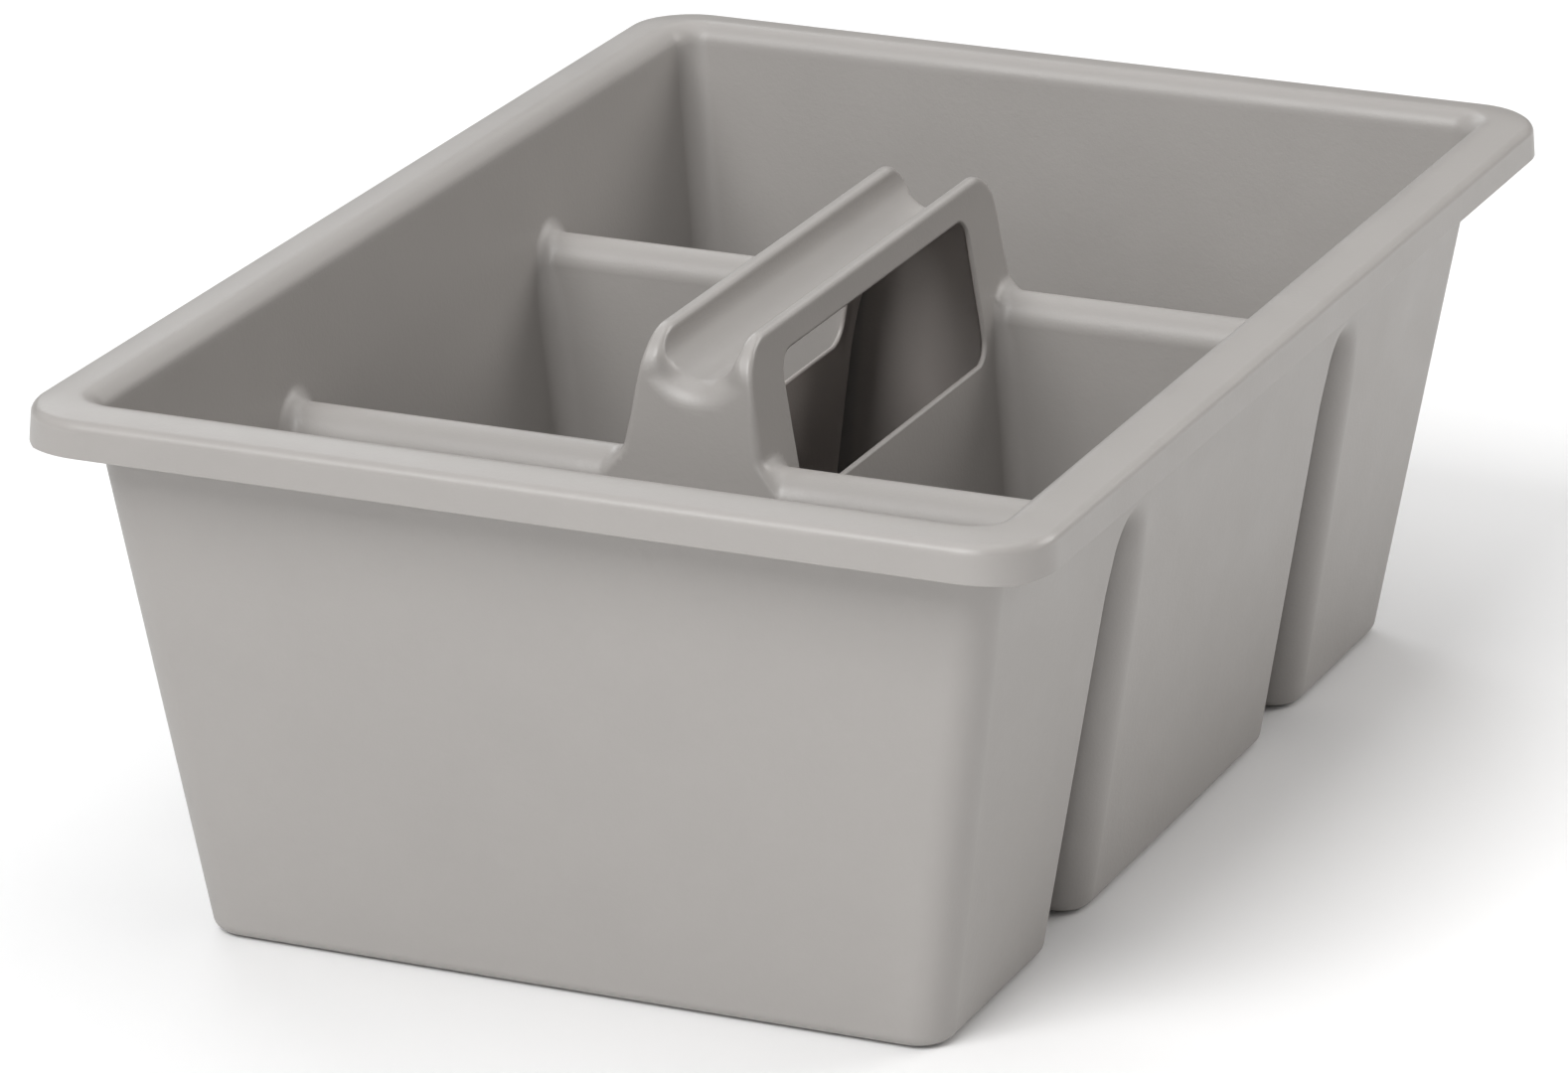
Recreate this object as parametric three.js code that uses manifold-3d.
// Cleaning caddy: an open-topped carrier with four compartments and a raised carrying handle.
// One thin-walled shell, cut into named sections that meet face to face: four bins, the rim,
// the round tops of the dividers, and the handle's grip and posts.
// Millimetres, +Z up, origin at the centre of the footprint on the resting plane.
// The front is -Y, the rear +Y, the left -X and the right +X.
import * as THREE from "three";
import { mergeVertices } from "three/addons/utils/BufferGeometryUtils.js";
import Module from "manifold-3d";

const { mapLinear, degToRad, radToDeg } = THREE.MathUtils;

// ---------------------------------------------------------------- driving dimensions
const WALL = 2.2; // thickness of the shell

// Outside of the walls: half sizes on the resting plane, and how far they lean out per mm up
const BASE_HALF_X = 93.24;
const BASE_HALF_Y = 154.1;
const LEAN_X = 0.146;
const LEAN_Y = 0.134;
const WALL_CORNER_R = 9;
const GAP_CORNER_R = 6; // where a wall turns into the gap under a divider
const BASE_EDGE_R = 2.8;

// Rim: a flat top lip with a turned-down skirt
const RIM_HALF_X = 125.6;
const RIM_HALF_Y = 185;
const RIM_TOP_Z = 135.1;
const SKIRT_BOTTOM_Z = 125.725;
const SKIRT_FLARE = 0.55; // the skirt is this much narrower per side at its top
const RIM_CORNER_R = 19.5;
const RIM_OUTER_EDGE_R = 3;
const RIM_INNER_EDGE_R = 4;

// Dividers between the end and middle compartments: two leaning walls joined by a round top
const DIVIDER_Y = 74.25; // centre of the round top
const DIVIDER_TOP_R = 7.2;
const DIVIDER_SPRING_Z = 98.35; // height where the round top begins
const DIVIDER_BASE_OUT_Y = 85.65; // end compartment's face, on the resting plane
const DIVIDER_BASE_IN_Y = 63.76; // middle compartment's face, on the resting plane
const DIVIDER_HALF_X = 107; // the round tops end within the side walls
const DIVIDER_HOLLOW_HALF_X = 115; // their hollows run out through the side walls

// Hollow ridge between the two middle compartments, which rises into the handle
const RIDGE_SHOULDER_Z = 105.6;
const RIDGE_TOP_HALF_X = 13.5;
// Columns: height, half width
const RIDGE = [
  [0, 29.1],
  [55.1, 24],
  [76.1, 22],
  [DIVIDER_SPRING_Z, 19.6],
  [RIDGE_SHOULDER_Z, 18],
  [132.1, RIDGE_TOP_HALF_X],
];

// Handle: leaning end faces, and two lips with a gutter between them
const HANDLE_BASE_Y = DIVIDER_Y + DIVIDER_TOP_R; // half length where the divider tops begin
const HANDLE_END_TOP_Y = 76.9; // half length at its top, before rounding
const HANDLE_TOP_Z = 135.5;
const HANDLE_END_R = 10; // radius where the lips turn down at each end
const LIP_R = 1.9;
const LIP_OVERHANG = 0.1; // how far the lip stands out past the ridge's top
const LIP_TRIM = 5; // degrees left off each end of the lip's half circle
const GUTTER_R = 9.6;
const GUTTER_TRIM = 4; // degrees left off each end of the gutter's half circle
const GUTTER_FLOOR_Z = 124.1;
const GUTTER_CENTRE_Z = GUTTER_FLOOR_Z + GUTTER_R;
const HOLLOW_SIDE_TOP_Z = 128.1; // where the hollow's sides meet the gutter's underside
const HOLLOW_END_TOP_Z = 129.1;

// Hand hole through both sides of the ridge
const HOLE_HALF_Y = 59;
const HOLE_BOTTOM_Z = 93.1;
const HOLE_TOP_Z = 127.4;
const HOLE_CORNER_R = 5.5;
const HOLE_INNER_X = 11; // the cuts start outside the gutter

// Planes where the sections meet
const CAP_INNER_X = 30;
const CAP_OUTER_X = 100;
const CAP_OUTER_Y = 90;
const GRIP_BOTTOM_Z = 110.1;
const POST_BOTTOM_Z = HOLE_BOTTOM_Z;
const BIN_LIMIT_X = 118; // between the wall and the skirt, so that the bins stop short of the skirt
const BIN_LIMIT_Y = 177;

// Reach of cutting solids and regions past what they cut
const HANDLE_REACH_X = 40;
const HANDLE_REACH_Y = 90;
const REGION_REACH = 220;
const REGION_BOTTOM_Z = -5;
const REGION_TOP_Z = 160;
const SKIRT_OVERRUN = 2;
const MOUTH_OVERRUN = 5;
const HOLLOW_OVERRUN = 1;

// Smoothness of the curves
const CURVE_SEGMENTS = 3; // half the number of chords in a quarter-circle corner
const EDGE_STEPS = 3; // steps in a rounded horizontal edge
const SMALL_ARC_CHORDS = 6; // lips, handle ends and hand hole corners
const DIVIDER_CHORDS = 12;
const GUTTER_CHORDS = 10;
const GUTTER_UNDERSIDE_CHORDS = 8;

const PLASTIC = { color: "#aca7a3", roughness: 0.5, metalness: 0 };

// ---------------------------------------------------------------- profiles and ranges
// Points on an arc, with the angles in degrees.
function arcPoints(centreAcross, centreUp, radius, from, to, chords) {
  const points = [];
  for (let i = 0; i <= chords; i++) {
    const angle = degToRad(from + ((to - from) * i) / chords);
    points.push([
      centreAcross + radius * Math.cos(angle),
      centreUp + radius * Math.sin(angle),
    ]);
  }
  return points;
}

const mirrored = (points) => points.map(([across, up]) => [-across, up]).reverse();
const withMirror = (points) => [...points, ...mirrored(points)];

// A range from near to far of the centre, on the negative (-1) or positive (1) side
const sided = (side, near, far) => (side < 0 ? [-far, -near] : [near, far]);
const centred = (half) => [-half, half];

// ---------------------------------------------------------------- solids
const wasm = await Module();
wasm.setup();

function solid(geometry) {
  geometry.deleteAttribute("normal");
  geometry.deleteAttribute("uv");
  const merged = mergeVertices(geometry, 1e-4);
  return new wasm.Manifold(
    new wasm.Mesh({
      numProp: 3,
      vertProperties: new Float32Array(merged.attributes.position.array),
      triVerts: new Uint32Array(merged.index.array),
    }),
  );
}

const union = (solids) => solids.reduce((whole, part) => whole.add(part));

function box(x, y, z) {
  const size = [x, y, z].map(([low, high]) => high - low);
  const centre = [x, y, z].map(([low, high]) => (low + high) / 2);
  return solid(new THREE.BoxGeometry(...size).translate(...centre));
}

// A stack of rounded rectangles, each {z, x: [low, high], y: [low, high], radii}, skinned into
// one closed solid. The radii are at the front left, front right, rear left and rear right.
// A unit-radius rounded square is extruded, then each of its vertices is moved to its layer.
function roundedLoft(layers) {
  const quarter = Math.PI / 2;
  const shape = new THREE.Shape();
  [[1, 1], [-1, 1], [-1, -1], [1, -1]].forEach(([x, y], i) => {
    shape.absarc(x, y, 1, i * quarter, (i + 1) * quarter, false);
  });
  const steps = layers.length - 1;
  const geometry = new THREE.ExtrudeGeometry(shape, {
    depth: steps,
    steps,
    bevelEnabled: false,
    curveSegments: CURVE_SEGMENTS,
  });
  const position = geometry.attributes.position;
  const place = (unit, [low, high], radius) =>
    unit > 0 ? high - radius + radius * (unit - 1) : low + radius + radius * (unit + 1);
  for (let i = 0; i < position.count; i++) {
    const unitX = position.getX(i);
    const unitY = position.getY(i);
    const { x, y, z, radii } = layers[Math.round(position.getZ(i))];
    const radius = radii[(unitX > 0 ? 1 : 0) + (unitY > 0 ? 2 : 0)];
    position.setXYZ(i, place(unitX, x, radius), place(unitY, y, radius), z);
  }
  return solid(geometry);
}

// Layer of a loft centred on the origin, with four equal corners
const centredLayer = (z, halfX, halfY, radius) => ({
  z,
  x: centred(halfX),
  y: centred(halfY),
  radii: Array(4).fill(radius),
});

// Layers that round a top edge; layer(z, shift) gets the sideways shift at each height.
function roundOver(radius, top, layer) {
  const layers = [];
  for (let i = 0; i <= EDGE_STEPS; i++) {
    const angle = (i * Math.PI) / (2 * EDGE_STEPS);
    const z = top - radius + radius * Math.sin(angle);
    layers.push(layer(z, radius * (1 - Math.cos(angle))));
  }
  return layers;
}

// Extrudes a profile whose first coordinate lies on the axis `across` and second on Z.
function extrude(profile, depth, across, along) {
  const shape = new THREE.Shape(profile.map((point) => new THREE.Vector2(...point)));
  const geometry = new THREE.ExtrudeGeometry(shape, { depth, bevelEnabled: false });
  const up = new THREE.Vector3(0, 0, 1);
  return geometry.applyMatrix4(new THREE.Matrix4().makeBasis(across, up, along));
}

// A profile in Y and Z, extruded over a range of x.
function alongX(profile, [low, high]) {
  const across = new THREE.Vector3(0, 1, 0);
  const along = new THREE.Vector3(1, 0, 0);
  return solid(extrude(profile, high - low, across, along).translate(low, 0, 0));
}

// A profile in X and Z, extruded over |y| up to half.
function alongY(profile, half) {
  const across = new THREE.Vector3(1, 0, 0);
  const along = new THREE.Vector3(0, -1, 0);
  return solid(extrude(profile, 2 * half, across, along).translate(0, half, 0));
}

// ---------------------------------------------------------------- faces by height
const wallX = (z) => BASE_HALF_X + LEAN_X * z;
const wallY = (z) => BASE_HALF_Y + LEAN_Y * z;

const endFaceY = (z) =>
  mapLinear(z, 0, DIVIDER_SPRING_Z, DIVIDER_BASE_OUT_Y, DIVIDER_Y + DIVIDER_TOP_R);
const middleFaceY = (z) =>
  mapLinear(z, 0, DIVIDER_SPRING_Z, DIVIDER_BASE_IN_Y, DIVIDER_Y - DIVIDER_TOP_R);
const handleEndY = (z) =>
  mapLinear(z, DIVIDER_SPRING_Z, HANDLE_TOP_Z, HANDLE_BASE_Y, HANDLE_END_TOP_Y);

function ridgeX(z) {
  let i = 0;
  while (i < RIDGE.length - 2 && z > RIDGE[i + 1][0]) i++;
  const [[lowZ, lowX], [highZ, highX]] = [RIDGE[i], RIDGE[i + 1]];
  return mapLinear(z, lowZ, highZ, lowX, highX);
}

// ---------------------------------------------------------------- bins
// Each has its inner faces by height, its outer corner radii, and the heights of its layers.
function endBin(side) {
  const walls = [WALL_CORNER_R, WALL_CORNER_R];
  const gaps = [GAP_CORNER_R, GAP_CORNER_R];
  return {
    faces: (z) => ({
      x: centred(wallX(z) - WALL),
      y: sided(side, endFaceY(z), wallY(z) - WALL),
    }),
    corners: side < 0 ? [...walls, ...gaps] : [...gaps, ...walls],
    heights: [DIVIDER_SPRING_Z],
  };
}

function middleBin(side) {
  return {
    faces: (z) => ({
      x: sided(side, ridgeX(z), wallX(z) - WALL),
      y: centred(middleFaceY(z)),
    }),
    corners: Array(4).fill(GAP_CORNER_R),
    heights: RIDGE.slice(1, 4).map(([z]) => z), // up to the spring of the divider tops
  };
}

const BINS = [endBin(-1), endBin(1), middleBin(-1), middleBin(1)];

// A bin's solid body with a rounded bottom edge: its outside at inset 0, its inside at WALL.
function cup({ faces, corners, heights }, inset) {
  const edge = BASE_EDGE_R - inset;
  const layerAt = (z, shrink) => {
    const grow = WALL - inset - shrink;
    const { x, y } = faces(z);
    return {
      z,
      x: [x[0] - grow, x[1] + grow],
      y: [y[0] - grow, y[1] + grow],
      radii: corners.map((radius) => radius - inset - shrink),
    };
  };
  const layers = [];
  for (let i = 0; i <= EDGE_STEPS; i++) {
    const angle = (i * Math.PI) / (2 * EDGE_STEPS);
    const z = inset + edge * (1 - Math.cos(angle));
    layers.push(layerAt(z, edge * (1 - Math.sin(angle))));
  }
  return roundedLoft([...layers, ...heights.map((z) => layerAt(z, 0))]);
}

// ---------------------------------------------------------------- upper wall, rim and mouth
const wallLayer = (z, grow, radius) =>
  centredLayer(z, wallX(z) + grow, wallY(z) + grow, radius);

// Solid body of the wall above the gaps between the bins
function upperWall() {
  return roundedLoft([DIVIDER_SPRING_Z, RIM_TOP_Z].map((z) => wallLayer(z, 0, WALL_CORNER_R)));
}

function rimLayer(z, inset) {
  const shrink = inset + mapLinear(z, SKIRT_BOTTOM_Z, RIM_TOP_Z, 0, SKIRT_FLARE);
  return centredLayer(z, RIM_HALF_X - shrink, RIM_HALF_Y - shrink, RIM_CORNER_R - inset);
}

function rim() {
  const outside = roundedLoft([
    rimLayer(SKIRT_BOTTOM_Z, 0),
    ...roundOver(RIM_OUTER_EDGE_R, RIM_TOP_Z, rimLayer),
  ]);
  const inside = roundedLoft([
    rimLayer(SKIRT_BOTTOM_Z - SKIRT_OVERRUN, WALL),
    ...roundOver(RIM_OUTER_EDGE_R - WALL, RIM_TOP_Z - WALL, (z, inset) =>
      rimLayer(z, inset + WALL),
    ),
  ]);
  return outside.subtract(inside);
}

// The space above the dividers, where all the compartments open together
function mouth() {
  const innerR = WALL_CORNER_R - WALL;
  const layers = [
    wallLayer(DIVIDER_SPRING_Z, -WALL, innerR),
    ...roundOver(RIM_INNER_EDGE_R, RIM_TOP_Z, (z, widening) =>
      wallLayer(z, widening - WALL, innerR + widening),
    ),
  ];
  layers.push({ ...layers.at(-1), z: RIM_TOP_Z + MOUTH_OVERRUN });
  return roundedLoft(layers);
}

// ---------------------------------------------------------------- divider tops
const dividerArc = (side, radius) =>
  arcPoints(side * DIVIDER_Y, DIVIDER_SPRING_Z, radius, 0, 180, DIVIDER_CHORDS);

function dividerRound(side) {
  return alongX(dividerArc(side, DIVIDER_TOP_R), centred(DIVIDER_HALF_X));
}

// The top of the gap under a divider, open downwards
function dividerHollow(side) {
  const radius = DIVIDER_TOP_R - WALL;
  const bottom = DIVIDER_SPRING_Z - HOLLOW_OVERRUN;
  const profile = [
    ...dividerArc(side, radius),
    [side * DIVIDER_Y - radius, bottom],
    [side * DIVIDER_Y + radius, bottom],
  ];
  return alongX(profile, centred(DIVIDER_HOLLOW_HALF_X));
}

// ---------------------------------------------------------------- handle
function handle() {
  const lipX = RIDGE_TOP_HALF_X - LIP_R + LIP_OVERHANG;
  const lipZ = HANDLE_TOP_Z - LIP_R;
  const rightSide = [
    [ridgeX(DIVIDER_SPRING_Z), DIVIDER_SPRING_Z],
    [ridgeX(RIDGE_SHOULDER_Z), RIDGE_SHOULDER_Z],
    ...arcPoints(lipX, lipZ, LIP_R, LIP_TRIM, 180 - LIP_TRIM, SMALL_ARC_CHORDS),
  ];
  const gutter = arcPoints(
    0, GUTTER_CENTRE_Z, GUTTER_R, -GUTTER_TRIM, GUTTER_TRIM - 180, GUTTER_CHORDS,
  );
  const block = alongY([...rightSide, ...gutter, ...mirrored(rightSide)], HANDLE_REACH_Y);

  const turnZ = HANDLE_TOP_Z - HANDLE_END_R;
  const turnY = handleEndY(turnZ) - HANDLE_END_R;
  const rearEnd = [
    [handleEndY(DIVIDER_SPRING_Z), DIVIDER_SPRING_Z],
    ...arcPoints(turnY, turnZ, HANDLE_END_R, 0, 90, SMALL_ARC_CHORDS),
  ];
  return block.intersect(alongX(withMirror(rearEnd), centred(HANDLE_REACH_X)));
}

// The inside of the ridge and handle, open downwards, with the gutter's underside as its ceiling
function handleHollow() {
  const bottom = DIVIDER_SPRING_Z - HOLLOW_OVERRUN;
  const rightSide = [
    [ridgeX(DIVIDER_SPRING_Z) - WALL, bottom],
    ...[DIVIDER_SPRING_Z, RIDGE_SHOULDER_Z, HOLLOW_SIDE_TOP_Z].map((z) => [ridgeX(z) - WALL, z]),
  ];
  const radius = GUTTER_R + WALL;
  const start = radToDeg(Math.asin((HOLLOW_SIDE_TOP_Z - GUTTER_CENTRE_Z) / radius));
  const ceiling = arcPoints(
    0, GUTTER_CENTRE_Z, radius, start, -180 - start, GUTTER_UNDERSIDE_CHORDS,
  );
  const block = alongY([...rightSide, ...ceiling, ...mirrored(rightSide)], HANDLE_REACH_Y);

  const rearEnd = [
    [handleEndY(DIVIDER_SPRING_Z) - WALL, bottom],
    ...[DIVIDER_SPRING_Z, HOLLOW_END_TOP_Z].map((z) => [handleEndY(z) - WALL, z]),
  ];
  return block.intersect(alongX(withMirror(rearEnd), centred(HANDLE_REACH_X)));
}

// The cut for the hand hole in one side of the ridge
function handHole(side) {
  const cornerY = HOLE_HALF_Y - HOLE_CORNER_R;
  const topZ = HOLE_TOP_Z - HOLE_CORNER_R;
  const bottomZ = HOLE_BOTTOM_Z + HOLE_CORNER_R;
  const centres = [
    [cornerY, topZ],
    [-cornerY, topZ],
    [-cornerY, bottomZ],
    [cornerY, bottomZ],
  ];
  const profile = centres.flatMap(([y, z], i) =>
    arcPoints(y, z, HOLE_CORNER_R, 90 * i, 90 * (i + 1), SMALL_ARC_CHORDS),
  );
  return alongX(profile, sided(side, HOLE_INNER_X, HANDLE_REACH_X));
}

// ---------------------------------------------------------------- the shell
function buildShell() {
  let shell = union([...BINS.map((bin) => cup(bin, 0)), upperWall(), rim()]);
  for (const bin of BINS) shell = shell.subtract(cup(bin, WALL));
  shell = shell.subtract(mouth());
  for (const side of [-1, 1]) shell = shell.add(dividerRound(side));
  shell = shell.add(handle());
  for (const side of [-1, 1]) shell = shell.subtract(dividerHollow(side));
  shell = shell.subtract(handleHollow());
  for (const side of [1, -1]) shell = shell.subtract(handHole(side));
  return shell;
}

// ---------------------------------------------------------------- the sections
const LOWER = [REGION_BOTTOM_Z, POST_BOTTOM_Z];
const UPPER = [POST_BOTTOM_Z, SKIRT_BOTTOM_Z];

function rimRegion() {
  const z = [SKIRT_BOTTOM_Z, REGION_TOP_Z];
  const strips = [-1, 1].flatMap((side) => [
    box(centred(REGION_REACH), sided(side, CAP_OUTER_Y, REGION_REACH), z),
    box(sided(side, CAP_OUTER_X, REGION_REACH), centred(CAP_OUTER_Y), z),
  ]);
  return union(strips);
}

// An end compartment (-1 front, 1 rear), up to the rim, without its divider tops
function endRegion(side) {
  const nearY = sided(side, DIVIDER_Y, CAP_OUTER_Y);
  return union([
    box(centred(BIN_LIMIT_X), sided(side, DIVIDER_Y, BIN_LIMIT_Y), LOWER),
    box(centred(BIN_LIMIT_X), sided(side, CAP_OUTER_Y, BIN_LIMIT_Y), UPPER),
    box(sided(-1, CAP_OUTER_X, BIN_LIMIT_X), nearY, UPPER),
    box(sided(1, CAP_OUTER_X, BIN_LIMIT_X), nearY, UPPER),
  ]);
}

// A middle compartment (-1 left, 1 right), up to the rim at the wall and the grip at the ridge
function middleRegion(side) {
  const sill = [POST_BOTTOM_Z, GRIP_BOTTOM_Z];
  return union([
    box(sided(side, 0, BIN_LIMIT_X), centred(DIVIDER_Y), LOWER),
    box(sided(side, CAP_OUTER_X, BIN_LIMIT_X), centred(DIVIDER_Y), UPPER),
    box(sided(side, 0, CAP_INNER_X), centred(HOLE_HALF_Y), sill),
  ]);
}

const capY = (side) => sided(side, HOLE_HALF_Y, CAP_OUTER_Y);
const dividerTopRegion = (sideX, sideY) =>
  box(sided(sideX, CAP_INNER_X, CAP_OUTER_X), capY(sideY), UPPER);
const gripRegion = () =>
  box(centred(CAP_INNER_X), centred(HOLE_HALF_Y), [GRIP_BOTTOM_Z, REGION_TOP_Z]);
const postRegion = (side) =>
  box(centred(CAP_INNER_X), capY(side), [POST_BOTTOM_Z, REGION_TOP_Z]);

const REGIONS = {
  rim: rimRegion(),
  front_bin: endRegion(-1),
  rear_bin: endRegion(1),
  left_bin: middleRegion(-1),
  right_bin: middleRegion(1),
  front_left_divider_top: dividerTopRegion(-1, -1),
  front_right_divider_top: dividerTopRegion(1, -1),
  rear_left_divider_top: dividerTopRegion(-1, 1),
  rear_right_divider_top: dividerTopRegion(1, 1),
  handle_grip: gripRegion(),
  handle_front_post: postRegion(-1),
  handle_rear_post: postRegion(1),
};

// A flat-shaded mesh of a solid, with its own plastic material
function sectionMesh(name, section) {
  const { vertProperties, triVerts } = section.getMesh();
  const indexed = new THREE.BufferGeometry();
  indexed.setAttribute("position", new THREE.BufferAttribute(vertProperties, 3));
  indexed.setIndex(new THREE.BufferAttribute(triVerts, 1));
  const geometry = indexed.toNonIndexed();
  geometry.computeVertexNormals();
  const material = new THREE.MeshStandardMaterial(PLASTIC);
  material.name = name + "_plastic";
  const mesh = new THREE.Mesh(geometry, material);
  mesh.name = name;
  return mesh;
}

const shell = buildShell();
const caddy = new THREE.Group();
caddy.name = "cleaning_caddy";
for (const [name, region] of Object.entries(REGIONS)) {
  caddy.add(sectionMesh(name, shell.intersect(region)));
}

export default caddy;
